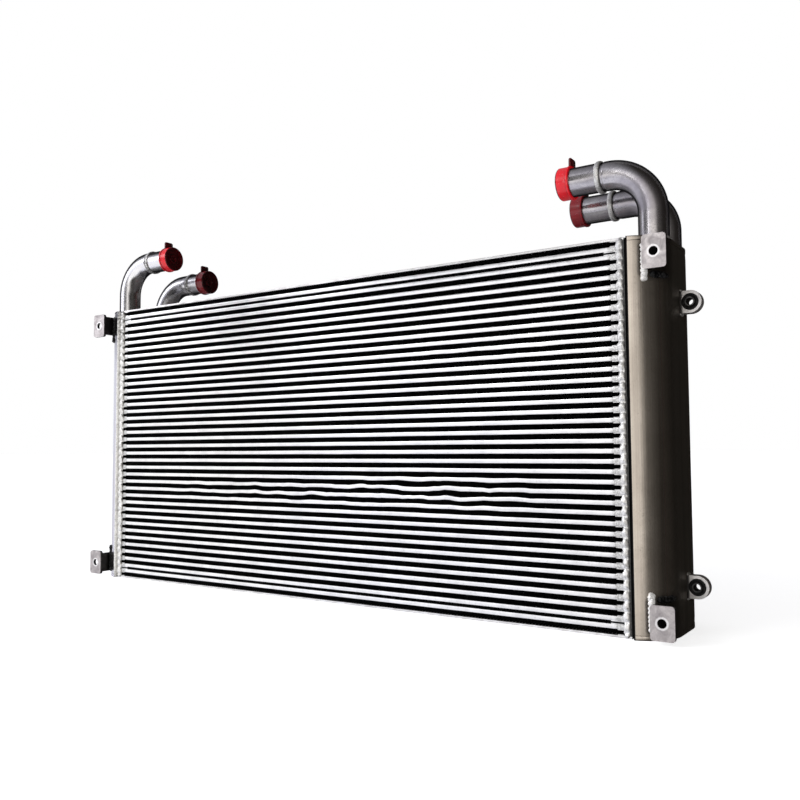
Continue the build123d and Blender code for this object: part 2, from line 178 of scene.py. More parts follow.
def bead(frames, width, height, pitch, closed=False, seed=0, across=9, sink=0.0006, scallop=0.0, dip=0.26):
    """Rippled weld bead over a list of (position, side vector, up vector) frames.

    scallop sets how far the blobs bulge out on the bead's inner edge, dip the depth of the valleys between.
    """
    rings = []
    travelled = 0.0
    last = frames[0][0]
    for index, (position, side, up) in enumerate(frames):
        travelled += (position - last).length
        last = position
        fade = 1.0
        if not closed:
            edge = min(index, len(frames) - 1 - index)
            fade = min(1.0, 0.35 + edge * 0.22)
        ring = []
        for j in range(across):
            u = 2 * j / (across - 1) - 1
            phase = (travelled + 0.3 * width * u * u) / pitch
            ripple = abs(math.cos(math.pi * phase)) ** (2 if dip < 0.3 else 0.8)
            wobble = noise.noise(Vector((travelled * 260 + seed, u * 1.7, seed * 3.1)))
            spread = 1 + 0.10 * noise.noise(Vector((travelled * 150, seed, u * 0.4))) + 0.06 * ripple
            rise = height * math.sqrt(max(0.0, 1 - u * u)) * (1 - dip + dip * ripple + 0.16 * wobble)
            bulge = scallop * (ripple - 0.5 + 0.8 * wobble) * max(0.0, -u)
            ring.append(position + side * (u * width / 2 * spread * fade - bulge) + up * (rise * fade))
        ring.append(position + side * (width * 0.4 * fade) - up * sink)
        ring.append(position - side * (width * 0.4 * fade) - up * sink)
        rings.append(ring)
    return loft(rings, close_path=closed)


def line_frames(start, end, side, up, step):
    """Evenly spaced bead frames on a straight line."""
    start, end = Vector(start), Vector(end)
    count = max(2, int((end - start).length / step))
    return [(start.lerp(end, i / count), Vector(side), Vector(up)) for i in range(count + 1)]


def dress(node, material, width=0.0, segments=2):
    """Material and small rounded edges for a carried-over CAD node; its mesh itself stays as packed."""
    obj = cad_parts[node]
    obj.data.materials.clear()
    obj.data.materials.append(material)
    if width:
        obj.modifiers.new("merge", "WELD").merge_threshold = 1e-6
        bevel = obj.modifiers.new("edge", "BEVEL")
        bevel.width = width
        bevel.segments = segments
        bevel.limit_method = "ANGLE"
        bevel.angle_limit = math.radians(30)
        bevel.harden_normals = True


# ---------------------------------------------------------------- material helpers

class Nodes:
    """Shorthand for wiring one node tree; values are sockets, numbers or colours."""

    def __init__(self, tree, position):
        self.tree = tree
        self.position = self.node("ShaderNodeTexCoord").outputs[position]

    def node(self, kind, **values):
        made = self.tree.nodes.new(kind)
        for key, value in values.items():
            if key in made.inputs:
                made.inputs[key].default_value = value
            else:
                setattr(made, key, value)
        return made

    def put(self, value, target):
        """Links a socket, or stores a number or colour, in an input."""
        if isinstance(value, tuple):
            target.default_value = (*value, 1.0)
        elif isinstance(value, (int, float)):
            target.default_value = value
        else:
            self.tree.links.new(value, target)

    def span(self, value, low, high, out_low=0.0, out_high=1.0, **options):
        """Maps a value from one range to another, held at the ends."""
        mapped = self.node("ShaderNodeMapRange", clamp=True, **options)
        for key, number in (("Value", value), ("From Min", low), ("From Max", high), ("To Min", out_low),
                            ("To Max", out_high)):
            self.put(number, mapped.inputs[key])
        return mapped.outputs["Result"]

    def maths(self, operation, a, b=None):
        made = self.node("ShaderNodeMath", operation=operation)
        self.put(a, made.inputs[0])
        if b is not None:
            self.put(b, made.inputs[1])
        return made.outputs["Value"]

    def times(self, a, b):
        return self.maths("MULTIPLY", a, b)

    def plus(self, a, b):
        return self.maths("ADD", a, b)

    def minus(self, a, b):
        return self.maths("SUBTRACT", a, b)

    def larger(self, a, b):
        return self.maths("MAXIMUM", a, b)

    def mix(self, factor, a, b):
        """Blend of two colours."""
        made = self.node("ShaderNodeMix", data_type="RGBA")
        self.put(factor, made.inputs["Factor"])
        self.put(a, made.inputs[6])
        self.put(b, made.inputs[7])
        return made.outputs[2]


class Shader(Nodes):
    """Builds a material around one Principled shader, in object coordinates."""

    def __init__(self, name, metallic, roughness):
        self.material = bpy.data.materials.new(name)
        self.material.use_nodes = True
        self.principled = self.material.node_tree.nodes["Principled BSDF"]
        super().__init__(self.material.node_tree, "Object")
        self.feed("Metallic", metallic)
        self.feed("Roughness", roughness)

    def feed(self, name, value):
        """Sets an input of the Principled shader."""
        self.put(value, self.principled.inputs[name])

    def noise(self, scale, detail=4.0, stretch=(1, 1, 1), rough=0.55, distort=0.0):
        mapping = self.node("ShaderNodeMapping", Scale=stretch)
        self.put(self.position, mapping.inputs["Vector"])
        texture = self.node("ShaderNodeTexNoise", Scale=scale, Detail=detail, Roughness=rough,
                            Distortion=distort)
        self.put(mapping.outputs["Vector"], texture.inputs["Vector"])
        return texture.outputs["Fac"]

    def bump(self, height, distance, strength=1.0, under=None):
        made = self.node("ShaderNodeBump", Distance=distance, Strength=strength)
        self.put(height, made.inputs["Height"])
        if under is not None:
            self.put(under, made.inputs["Normal"])
        self.feed("Normal", made.outputs["Normal"])
        return made.outputs["Normal"]

    def axis(self, index):
        """One coordinate of the shaded point."""
        split = self.node("ShaderNodeSeparateXYZ")
        self.put(self.position, split.inputs["Vector"])
        return split.outputs[index]

    def off(self, index):
        """Distance from the origin along one axis."""
        return self.maths("ABSOLUTE", self.axis(index))

    def off_hole(self, x):
        """Distance from (x, hole level) of the nearest bracket, and the upright part of it."""
        across = self.minus(self.off(0), x)
        along = self.minus(self.off(2), HOLE_Z)
        square = self.plus(self.maths("POWER", across, 2), self.maths("POWER", along, 2))
        return self.maths("SQRT", square), along

    def on_left(self):
        """One on the left half of the cooler, zero on the right half."""
        return self.span(self.axis(0), -10 * MM, 10 * MM, 1.0, 0.0)


def metal(name, light, dark, rough=(0.3, 0.5), grain=(1, 1, 1), grain_scale=900, grain_depth=0.06 * MM,
          stain_scale=18, metallic=1.0):
    """Bare aluminium with a directional grain, soft stains and fine scratches."""
    s = Shader(name, metallic, rough[0])
    stains = s.span(s.noise(stain_scale, 5, rough=0.62, distort=0.6), 0.35, 0.68)
    fine = s.noise(grain_scale, 3, grain)
    specks = s.span(s.noise(420, 2), 0.60, 0.74)
    tone = s.mix(stains, light, dark)
    tone = s.mix(s.times(s.span(fine, 0.35, 0.7), 0.35), tone, dark)
    s.tone = s.mix(s.times(specks, 0.30), tone, tuple(c * 0.5 for c in dark))
    s.feed("Base Color", s.tone)
    s.feed("Roughness", s.span(stains, 0, 1, rough[0], rough[1]))
    under = s.bump(s.noise(60, 3), 0.25 * MM, 0.5)
    s.bump(fine, grain_depth, 0.6, under)
    return s


# ---------------------------------------------------------------- materials

CORE_MIDDLE_Y = sum(corner.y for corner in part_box("parting_sheets")) / 2
CORE_HALF_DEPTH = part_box("parting_sheets")[1].y - CORE_MIDDLE_Y
HEAT_X = 455.5 * MM
SEAM_SHADE_X = 466.0 * MM
TANK_LOW, TANK_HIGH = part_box("right_tank")
TANK_CORE_X, TANK_OUTER_X = reaches("right_tank")
TANK_LIP_X = TANK_CORE_X + 3.5 * MM
HOLE_X = 516 * MM
HOLE_Z = 217.5 * MM
BRACKET_INNER_X = reaches("right_upper_bracket")[0]
EAR_ROOT_X = 523 * MM


def bar_material():
    """Milled bars and sheet edges, greyed by welding heat near the tanks; painted shade blackens them under
    the seam beads and deep inside the core.
    """
    s = metal("bar_aluminium", (0.93, 0.93, 0.92), (0.72, 0.72, 0.72), (0.30, 0.42), (0.02, 1, 1), 900,
              stain_scale=30, metallic=0.85)
    reach = s.off(0)
    edge = s.span(s.plus(reach, s.times(s.noise(260, 4), 6 * MM)), HEAT_X, HEAT_X + 4 * MM)
    heat_tint_and_shadow = s.mix(s.span(s.noise(500, 3), 0.4, 0.62), (0.30, 0.30, 0.29), (0.66, 0.66, 0.65))
    face = s.mix(s.times(edge, 0.8), s.tone, heat_tint_and_shadow)
    # Painted shade: the bars turn near black where they run in under the seam beads.
    wavy = s.plus(reach, s.times(s.noise(210, 3), 2.4 * MM))
    face = s.mix(s.span(wavy, SEAM_SHADE_X, SEAM_SHADE_X + 0.6 * MM, 0.0, 0.92), face, (0.02, 0.02, 0.02))
    # Painted shade: faces more than 0.9 mm inside the core are near black, dull and non-metallic.
    depth = s.maths("ABSOLUTE", s.minus(s.axis(1), CORE_MIDDLE_Y))
    inside = s.span(depth, CORE_HALF_DEPTH - 0.9 * MM, CORE_HALF_DEPTH - 0.2 * MM, 1.0, 0.0)
    s.feed("Base Color", s.mix(inside, face, (0.012, 0.012, 0.012)))
    s.feed("Metallic", s.span(inside, 0, 1, 0.85, 0.0))
    s.feed("Roughness", s.span(inside, 0, 1, 0.32, 0.7))
    return s.material


def fin_material():
    """Fins painted near black as shade deep in the air rows, with a little dust on their edges."""
    s = Shader("fin_black", 0.2, 0.55)
    dust = s.span(s.noise(160, 4), 0.55, 0.8)
    # Painted shade: the near-black base stands in for the shade between the bars.
    s.feed("Base Color", s.mix(dust, (0.006, 0.006, 0.007), (0.025, 0.025, 0.024)))
    s.feed("Roughness", s.span(dust, 0, 1, 0.45, 0.7))
    s.bump(s.noise(1500, 2), 0.05 * MM)
    return s.material


def tank_material():
    """Extruded tank wall: fine upright grain, warm stains, faint scratches; painted light tints the left half
    cool, painted shade blackens the groove, the outer wall, the top left and the tank beside and behind the
    brackets.
    """
    s = metal("tank_aluminium", (0.68, 0.62, 0.555), (0.54, 0.485, 0.43), (0.20, 0.32), (1, 1, 0.015), 700,
              stain_scale=14)
    # Painted light: the left half is tinted cool, as the cool light from the left falls on it.
    left = s.on_left()
    base = s.mix(s.times(left, 0.75), s.tone, (0.55, 0.56, 0.62))
    # Painted shade: the upper left tank, around the upper bracket, turns near black.
    painted_top_shade = s.span(s.plus(s.axis(2), s.times(s.noise(60, 4), 90 * MM)), 190 * MM, 262 * MM)
    base = s.mix(s.times(s.times(painted_top_shade, left), 0.80), base, (0.05, 0.05, 0.055))
    streaks = s.span(s.noise(90, 4, (1, 1, 0.02)), 0.45, 0.70)
    streaked = s.mix(s.times(streaks, 0.5), base, (0.24, 0.21, 0.18))
    reach = s.off(0)
    cut_edge = s.span(reach, TANK_LIP_X + 0.1 * MM, TANK_LIP_X + 0.6 * MM, 1.0, 0.0)
    # Painted shade: the groove behind the lip and a strip along the right lip turn near black, dull and
    # without specular.
    inner_side = s.span(reach, TANK_LIP_X - 0.6 * MM, TANK_LIP_X - 0.3 * MM, 1.0, 0.0)
    right_lip = s.span(s.axis(0), TANK_LIP_X + 1.5 * MM, TANK_LIP_X + 2.1 * MM, 1.0, 0.0)
    right_lip = s.times(right_lip, s.span(s.axis(0), 0, 1 * MM))
    groove = s.larger(inner_side, right_lip)
    # Painted shadow: the tank behind each bracket hole, seen through it, is near black.
    away, along = s.off_hole(HOLE_X - 8 * MM)
    heat_tint_and_shadow = s.times(s.span(away, 9 * MM, 13 * MM, 0.95, 0.0), s.span(s.axis(1), 40 * MM, 50 * MM, 1.0, 0.0))
    streaked = s.mix(heat_tint_and_shadow, streaked, (0.015, 0.014, 0.013))
    # Painted shade: a ragged band on the tank's rounded corner beside each bracket is near black.
    ragged = s.plus(s.maths("ABSOLUTE", along), s.times(s.noise(140, 4), 16 * MM))
    painted_shade = s.times(s.span(ragged, 28 * MM, 40 * MM, 0.85, 0.0), s.span(reach, 500 * MM, 504 * MM))
    painted_shade = s.times(painted_shade, s.span(s.axis(1), 44 * MM, 66 * MM, 1.0, 0.0))
    streaked = s.mix(painted_shade, streaked, (0.03, 0.028, 0.026))
    # Painted shade: the outer side wall is darkened towards near black.
    shaded_outer_wall = s.span(reach, 512 * MM, 520 * MM)
    streaked = s.mix(s.times(shaded_outer_wall, 0.75), streaked, (0.10, 0.09, 0.08))
    s.feed("Roughness", s.span(shaded_outer_wall, 0, 1, 0.26, 0.62))
    edged = s.mix(cut_edge, streaked, (0.72, 0.72, 0.76))
    s.feed("Base Color", s.mix(groove, edged, (0.01, 0.01, 0.01)))
    dull = s.larger(s.times(cut_edge, 0.9), groove)
    s.feed("Metallic", s.span(dull, 0, 1, 1.0, 0.0))
    s.feed("Specular IOR Level", s.span(groove, 0, 1, 0.5, 0.0))
    return s.material


def plate_material():
    """Sheet metal of brackets and ears, mottled, with scuffed patches; painted shade blackens the bracket
    flanges and the ear roots.
    """
    s = metal("bracket_aluminium", (0.56, 0.525, 0.515), (0.31, 0.285, 0.285), (0.34, 0.52), (1, 1, 1), 500,
              stain_scale=85, metallic=0.85)
    away = s.plus(s.off_hole(HOLE_X)[0], s.times(s.noise(300, 2), 1.6 * MM))
    ring = s.span(away, 8.0 * MM, 9.2 * MM, 1.0, 0.0)
    ringed = s.mix(s.times(ring, 0.75), s.tone, (0.86, 0.85, 0.84))
    # Painted shade: the bracket flanges running back to the tank and the ear roots are near black.
    behind = s.times(s.span(s.axis(1), 0.8 * MM, 1.8 * MM), s.span(s.axis(1), 40 * MM, 45 * MM, 1.0, 0.0))
    on_ear = s.span(s.axis(1), 60 * MM, 62 * MM)
    eye = s.mix(s.times(on_ear, 0.7), ringed, (0.93, 0.92, 0.91))
    ear_root = s.span(s.off(0), EAR_ROOT_X, EAR_ROOT_X + 2 * MM, 1.0, 0.0)
    flange_and_root_shade = s.times(s.larger(behind, s.times(on_ear, ear_root)), 0.93)
    s.feed("Base Color", s.mix(flange_and_root_shade, eye, (0.014, 0.013, 0.012)))
    return s.material


def pipe_material():
    """Drawn tube, satin, with a slight cool tint; painted light lightens the left pipes, painted shade
    darkens the right ones and every silhouette.
    """
    s = metal("pipe_aluminium", (0.70, 0.68, 0.67), (0.38, 0.36, 0.39), (0.18, 0.34), (1, 1, 1), 420,
              stain_scale=26)
    # Painted light and shade: the left pipes are lightened, the right ones darkened.
    base = s.mix(s.span(s.axis(0), -10 * MM, 10 * MM, 0.55, 0.0), s.tone, (0.96, 0.96, 0.98))
    base = s.mix(s.span(s.axis(0), -10 * MM, 10 * MM, 0.0, 0.30), base, (0.22, 0.20, 0.22))
    # Painted shade: a near-black, dull rim at grazing angles darkens every silhouette.
    grazing = s.node("ShaderNodeLayerWeight", Blend=0.5).outputs["Facing"]
    rim = s.span(grazing, 0.38, 0.60)
    s.feed("Base Color", s.mix(s.times(rim, 0.96), base, (0.008, 0.008, 0.009)))
    s.feed("Metallic", s.span(rim, 0, 1, 1.0, 0.0))
    s.feed("Specular IOR Level", s.span(rim, 0, 1, 0.5, 0.0))
    return s.material


def weld_material():
    """Bright weld metal with dark pitted specks; painted shade blackens the left welds up high."""
    s = metal("weld_bright", (0.95, 0.94, 0.92), (0.66, 0.65, 0.62), (0.34, 0.50), (1, 1, 1), 1500, 0.1 * MM,
              stain_scale=150, metallic=0.75)
    pits = s.span(s.noise(520, 3, rough=0.7), 0.54, 0.66)
    pitted = s.mix(s.times(pits, 0.62), s.tone, (0.16, 0.155, 0.15))
    # Painted shade: the left welds near and above the top of the core turn near black in patches.
    height = s.plus(s.axis(2), s.times(s.noise(60, 4), 90 * MM))
    painted_shade = s.times(s.span(height, 215 * MM, 290 * MM), s.span(s.noise(300, 3), 0.42, 0.58))
    painted_shade = s.times(painted_shade, s.on_left())
    s.feed("Base Color", s.mix(s.times(painted_shade, 0.8), pitted, (0.04, 0.04, 0.045)))
    return s.material


def lit_and_shaded_weld_material():
    """Weld metal of the brackets: painted light makes the right ones bright with a faint glow, painted shade
    blackens the left ones and the right ones' parts past the flange edge.
    """
    s = metal("weld_lit_and_shaded", (0.97, 0.96, 0.94), (0.70, 0.69, 0.66), (0.30, 0.46), (1, 1, 1), 1500, 0.1 * MM,
              stain_scale=150, metallic=0.4)
    # Painted shade: near-black colour for the left bracket beads and the right ones' parts past the flange
    # edge.
    painted_shade = s.mix(s.span(s.noise(330, 4), 0.45, 0.7), (0.006, 0.006, 0.006), (0.07, 0.07, 0.07))
    fringe = s.span(s.axis(0), BRACKET_INNER_X + 0.6 * MM, BRACKET_INNER_X + 1.2 * MM)
    shaded_part = s.larger(s.on_left(), fringe)
    s.feed("Base Color", s.mix(shaded_part, s.tone, painted_shade))
    s.feed("Metallic", s.span(shaded_part, 0, 1, 0.4, 0.0))
    s.feed("Specular IOR Level", s.span(shaded_part, 0, 1, 0.5, 0.1))
    # Painted light: a faint glow on the bright right bracket beads.
    s.feed("Emission Color", (1.0, 0.98, 0.95))
    s.feed("Emission Strength", s.span(shaded_part, 0, 0.3, 0.20, 0.0))
    return s.material


def cap_material():
    """Red moulded plastic with a faint grain; painted shade blackens the end faces and tabs, and a
    camera-only glow paints light on the front caps.
    """
    s = Shader("cap_red", 0.0, 0.30)
    scuff = s.span(s.noise(240, 4), 0.58, 0.75)
    fresh = s.mix(scuff, (0.86, 0.014, 0.026), (0.90, 0.10, 0.12))
    # Painted shade: faces turned towards the middle, the tabs and the recesses are near black.
    facing = s.node("ShaderNodeSeparateXYZ")
    s.put(s.node("ShaderNodeNewGeometry").outputs["Normal"], facing.inputs["Vector"])
    towards_middle = s.times(facing.outputs[0], s.maths("SIGN", s.axis(0)))
    face = s.span(towards_middle, -0.32, -0.06, 0.92, 0.0)
    shade_marks = s.node("ShaderNodeAttribute", attribute_name="shade_marks").outputs["Fac"]
    face = s.larger(face, s.times(shade_marks, 0.86))
    # The rear caps are darker red.
    rear = s.span(s.axis(1), 90 * MM, 100 * MM)
    rear_darkened = s.mix(s.times(rear, 0.72), fresh, (0.11, 0.006, 0.010))
    s.feed("Base Color", s.mix(face, rear_darkened, (0.035, 0.004, 0.006)))
    s.feed("Roughness", s.span(scuff, 0, 1, 0.20, 0.38))
    # Painted light: a faint red glow on the front caps' walls, seen only by the camera.
    s.feed("Emission Color", (0.9, 0.0, 0.01))
    glow = s.times(s.span(face, 0, 0.5, 0.22, 0.0), s.span(rear, 0, 1, 1.0, 0.0))
    glow = s.times(glow, s.node("ShaderNodeLightPath").outputs["Is Camera Ray"])
    s.feed("Emission Strength", glow)
    s.bump(s.noise(1800, 3), 0.04 * MM)
    return s.material


def rubber_material():
    """Black moulded rubber."""
    s = Shader("bush_rubber", 0.0, 0.62)
    bloom = s.span(s.noise(300, 4), 0.5, 0.75)
    s.feed("Base Color", s.mix(bloom, (0.008, 0.008, 0.008), (0.035, 0.034, 0.033)))
    s.bump(s.noise(1200, 3), 0.05 * MM)
    return s.material


BARS = bar_material()
FINS = fin_material()
TANK = tank_material()
PLATE = plate_material()
PIPE = pipe_material()
WELD = weld_material()
LIT_AND_SHADED_WELD = lit_and_shaded_weld_material()
CAP = cap_material()
RUBBER = rubber_material()
# Rolled side plates of the core, and the sleeves of the eyes, near black as painted shade inside the bores.
RAIL = metal("rail_aluminium", (0.90, 0.90, 0.89), (0.58, 0.57, 0.56), (0.30, 0.46), (0.03, 1, 1), 700,
             stain_scale=60, metallic=0.85).material
STEEL = metal("sleeve_steel", (0.11, 0.11, 0.11), (0.05, 0.05, 0.05), (0.35, 0.5), stain_scale=200).material


# ---------------------------------------------------------------- core

def stacked_levels(node):
    """(low, high) heights of the flat solids stacked in one CAD node."""
    heights = sorted({round(v.co.z, 5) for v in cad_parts[node].data.vertices})
    return list(zip(heights[0::2], heights[1::2]))


SHEET_LEVELS = stacked_levels("parting_sheets")
BAR_LEVELS = stacked_levels("front_oil_bars")
CORE_LOW, CORE_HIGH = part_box("parting_sheets")
FRONT_Y = CORE_LOW.y
BACK_Y = CORE_HIGH.y
HALF_WIDTH = CORE_HIGH.x
PLATE_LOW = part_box("bottom_side_plate")[1].z
PLATE_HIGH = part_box("top_side_plate")[0].z
TOP_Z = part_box("top_side_plate")[1].z

# Knocked stretches of the core face: centre x, centre z, reach along x, reach along z, size in z.
KNOCKS = (
    (0.180, -0.076, 0.170, 0.020, 3.2 * MM),
    (-0.140, -0.080, 0.170, 0.015, 2.6 * MM),
    (0.300, 0.117, 0.120, 0.010, 1.2 * MM),
)


def face_shift(x, z):
    """How far a bar at the core's front face is bent up or down from straight."""
    shift = 0.20 * MM * noise.noise(Vector((x * 14, z * 90, 0.3)))
    ragged = noise.noise(Vector((x * 26, z * 34, 4.1))) + 0.5 * noise.noise(Vector((x * 70, z * 60, 8.7)))
    for cx, cz, reach_x, reach_z, size in KNOCKS:
        near = math.exp(-((x - cx) / reach_x) ** 4 - ((z - cz) / reach_z) ** 2)
        shift += near * size * ragged
    return shift


def bent(x, y, z):
    """Point of the core with the front-face dents applied; they fade out 12 mm in."""
    fade = min(1.0, max(0.0, 1 - (y - FRONT_Y) / (12 * MM)))
    edge = min(1.0, max(0.0, (HALF_WIDTH - 0.012 - abs(x)) / 0.03))
    return Vector((x, y, z + face_shift(x, z) * fade * edge))


def brazed_nose(low, high):
    """Outline, as (standout, height), of a bar's face; braze metal laps over both sheet edges."""
    lap = 0.5 * MM
    half = [(-0.6 * MM, 0.0), (0.02 * MM, 0.0), (0.04 * MM, -lap), (0.18 * MM, -lap * 0.9),
            (0.27 * MM, -lap * 0.3), (0.33 * MM, 0.9 * MM)]
    rising = [(out, low + z) for out, z in half]
    falling = [(out, high - z) for out, z in reversed(half)]
    return rising + [(0.37 * MM, (low + high) / 2)] + falling


def bar_stack(y_low, y_high, steps, nose_low, nose_high):
    """Long bars whose chosen faces carry a brazed nose."""
    parts = []
    for low, high in BAR_LEVELS:
        rings = []
        for i in range(steps + 1):
            x = -HALF_WIDTH + 2 * HALF_WIDTH * i / steps
            near = brazed_nose(low, high) if nose_low else [(0, low), (0, high)]
            far = brazed_nose(low, high) if nose_high else [(0, low), (0, high)]
            outline = [(y_low - out, z) for out, z in near] + [(y_high + out, z) for out, z in reversed(far)]
            rings.append([bent(x, y, z) if nose_low else Vector((x, y, z)) for y, z in outline])
        parts.append(loft(rings))
    return join_parts(parts)


def sheet_stack(steps):
    """Thin parting sheets whose front edges follow the bars."""
    parts = []
    depths = (FRONT_Y, FRONT_Y + 12 * MM)
    for low, high in SHEET_LEVELS:
        rings = []
        for i in range(steps + 1):
            x = -HALF_WIDTH + 2 * HALF_WIDTH * i / steps
            lower = [bent(x, y, low) for y in (*depths, BACK_Y)]
            upper = [bent(x, y, high) for y in (BACK_Y, *reversed(depths))]
            rings.append(upper + lower)
        parts.append(loft(rings))
    return join_parts(parts)


def air_rows():
    """(low, high) heights of the air rows between the sheets."""
    lows = [PLATE_LOW] + [high for _, high in SHEET_LEVELS[1::2]]
    highs = [low for low, _ in SHEET_LEVELS[0::2]] + [PLATE_HIGH]
    return list(zip(lows, highs))


def fin_pack():
    """Close-pitched corrugated strip in every air row."""
    pitch = 4.6 * MM
    skin = 0.14 * MM
    fin_low, fin_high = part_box("air_fins")
    full_height = max(high - low for low, high in air_rows())
    parts = []
    for row, (low, high) in enumerate(air_rows()):
        narrow = (high - low) < full_height * 0.8
        half = fin_high.x - (8.0 * MM if narrow else 0)
        waves = int(2 * half / pitch)
        phase = noise.noise(Vector((row * 0.7, 3.3, 1.9))) * 0.3
        rings = []
        for i in range(2 * waves + 1):
            x = -half + 2 * half * i / (2 * waves)
            if 0 < i < 2 * waves:
                x += pitch * 0.08 * noise.noise(Vector((i * 0.31, row * 1.7, phase)))
            z = (high - 0.25 * MM) if i % 2 else (low + 0.25 * MM)
            offset = skin / 2
            corners = ((fin_low.y, z - offset), (fin_low.y, z + offset),
                       (fin_high.y, z + offset), (fin_high.y, z - offset))
            rings.append([bent(x, y, cz) for y, cz in corners])
        parts.append(loft(rings))
    return join_parts(parts)


front_bars = bar_stack(FRONT_Y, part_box("front_oil_bars")[1].y, 150, True, False)
rear_bars = bar_stack(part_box("rear_oil_bars")[0].y, BACK_Y, 30, False, True)
add_piece("front_bar_stack", *front_bars, BARS, "front_oil_bars")
add_piece("rear_bar_stack", *rear_bars, BARS, "rear_oil_bars")
add_piece("sheet_stack", *sheet_stack(110), BARS, "parting_sheets")
add_piece("fin_pack", *fin_pack(), FINS, "air_fins", sharp=20)
for plate_node in ("top_side_plate", "bottom_side_plate"):
    dress(plate_node, RAIL, 0.6 * MM)
dress("oil_turbulators", BARS)



# The welder ran the left seams wider than the right ones.
SEAM_CENTRE = {-1: 6.0 * MM, 1: 4.5 * MM}
SEAM_WIDTH = {-1: 12.0 * MM, 1: 8.8 * MM}
SEAM_HEIGHT = 3.4 * MM


def seam_frames(side_name, side):
    """Front and rear upright seams and the short seam across the top of the core."""
    node = f"{side_name}_core_seams"
    low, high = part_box(node)
    x = side * (reaches(node)[0] + SEAM_CENTRE[side])
    across = Vector((side, 0, 0))
    step = 1.1 * MM
    front = line_frames((x, FRONT_Y, low.z + 1 * MM), (x, FRONT_Y, high.z), across, (0, -1, 0), step)
    rear = line_frames((x, BACK_Y, low.z + 1 * MM), (x, BACK_Y, high.z), across, (0, 1, 0), step)
    top = line_frames((x, FRONT_Y + 1 * MM, high.z), (x, BACK_Y - 1 * MM, high.z), across, (0, 0, 1), step)
    return front, rear, top


def lip_fill(side_name, side):
    """Low bead that closes the groove between the seam and the tank's lip."""
    low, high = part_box(f"{side_name}_core_seams")
    inner = Vector((side * (TANK_LIP_X - 5 * MM), FRONT_Y - 0.4 * MM, 0))
    outer = Vector((side * (TANK_LIP_X + 1 * MM), TANK_LOW.y - 0.275 * MM, 0))
    across = (outer - inner).normalized()
    up = Vector((across.y * side, -across.x * side, 0))
    middle = (inner + outer) / 2
    start, end = middle + Vector((0, 0, low.z + 1 * MM)), middle + Vector((0, 0, high.z - 1 * MM))
    frames = line_frames(start, end, across, up, 2.2 * MM)
    return bead(frames, (outer - inner).length, 0.9 * MM, 7 * MM, seed=23)


for side_name, side in SIDES.items():
    dress(f"{side_name}_end_bars", BARS, 0.25 * MM, 1)
    front, rear, top = seam_frames(side_name, side)
    row_pitch = BAR_LEVELS[6][0] - BAR_LEVELS[5][0]
    lumps = {"across": 13, "scallop": 2.2 * MM, "dip": 0.62}
    parts = [
        bead(front, SEAM_WIDTH[side], SEAM_HEIGHT, row_pitch, seed=3 + side, **lumps),
        bead(rear, SEAM_WIDTH[side], SEAM_HEIGHT, row_pitch, seed=7 + side, **lumps),
        bead(top, 8.0 * MM, 2.2 * MM, row_pitch / 2, seed=11 + side),
    ]
    if side < 0:
        parts.append(lip_fill(side_name, side))
    add_piece(f"{side_name}_seam_beads", *join_parts(parts), WELD, f"{side_name}_core_seams", sharp=70)


# ---------------------------------------------------------------- tanks

CORNER_RADIUS = 52 * MM
CORNER_X = TANK_OUTER_X - CORNER_RADIUS
TANK_WALL = 4 * MM
TONGUE_SETBACK = 8 * MM
TONGUE_ROOT = 5 * MM
TANK_SWAY = 0.28 * MM
TANK_END_EASE = 0.4 * MM
# The foremost and rearmost planes if the corners' arcs were carried on to their tops.
ARC_REST = CORNER_RADIUS - math.sqrt(CORNER_RADIUS ** 2 - (TANK_LIP_X - CORNER_X) ** 2)
TANK_FRONT = TANK_LOW.y - ARC_REST
TANK_BACK = TANK_HIGH.y + ARC_REST


def tank_surface(reach):
    """y of the tank's rounded front at a distance from the mid plane."""
    return TANK_FRONT + CORNER_RADIUS - math.sqrt(CORNER_RADIUS ** 2 - (reach - CORNER_X) ** 2)


def tank_outline(inset, steps=22):
    """Front lip to rear lip along the D-shaped wall, as (distance from the mid plane, y)."""
    radius = CORNER_RADIUS - inset
    arc_start = math.acos((TANK_LIP_X - CORNER_X) / radius)
    points = []
    for i in range(steps + 1):
        angle = arc_start * (1 - i / steps)
        y = TANK_FRONT + CORNER_RADIUS - radius * math.sin(angle)
        points.append((CORNER_X + radius * math.cos(angle), y))
    for i in range(steps + 1):
        angle = arc_start * i / steps
        y = TANK_BACK - CORNER_RADIUS + radius * math.sin(angle)
        points.append((CORNER_X + radius * math.cos(angle), y))
    return points


def tank_shell(side):
    """Hollow tank wall with thin lips, gently uneven as formed metal is."""
    outer = tank_outline(0)
    root = TANK_LIP_X + TONGUE_ROOT
    shallow, deep = TONGUE_SETBACK, TONGUE_SETBACK + TANK_WALL
    front_tongue = [(TANK_LIP_X, TANK_FRONT + shallow), (TANK_CORE_X, TANK_FRONT + shallow),
                    (TANK_CORE_X, TANK_FRONT + deep), (root, TANK_FRONT + deep)]
    back_tongue = [(root, TANK_BACK - deep), (TANK_CORE_X, TANK_BACK - deep),
                   (TANK_CORE_X, TANK_BACK - shallow), (TANK_LIP_X, TANK_BACK - shallow)]
    inner = [point for point in tank_outline(TANK_WALL) if point[0] > root]
    loop = outer + back_tongue[::-1] + inner[::-1] + front_tongue[::-1]
    rings = []
    count = 60
    for i in range(count + 1):
        z = TANK_LOW.z + (TANK_HIGH.z - TANK_LOW.z) * i / count
        ring = []
        for index, (x, y) in enumerate(loop):
            sway = 0.0
            if index < len(outer):
                away = min(1.0, min(i, count - i) / 4)
                sway = TANK_SWAY * away * noise.noise(Vector((index * 0.11, z * 7, side * 2.0)))
                if i in (0, count):
                    sway -= TANK_END_EASE
            ring.append(Vector((side * (x + sway), y, z)))
        rings.append(ring if side > 0 else ring[::-1])
    return loft(rings)


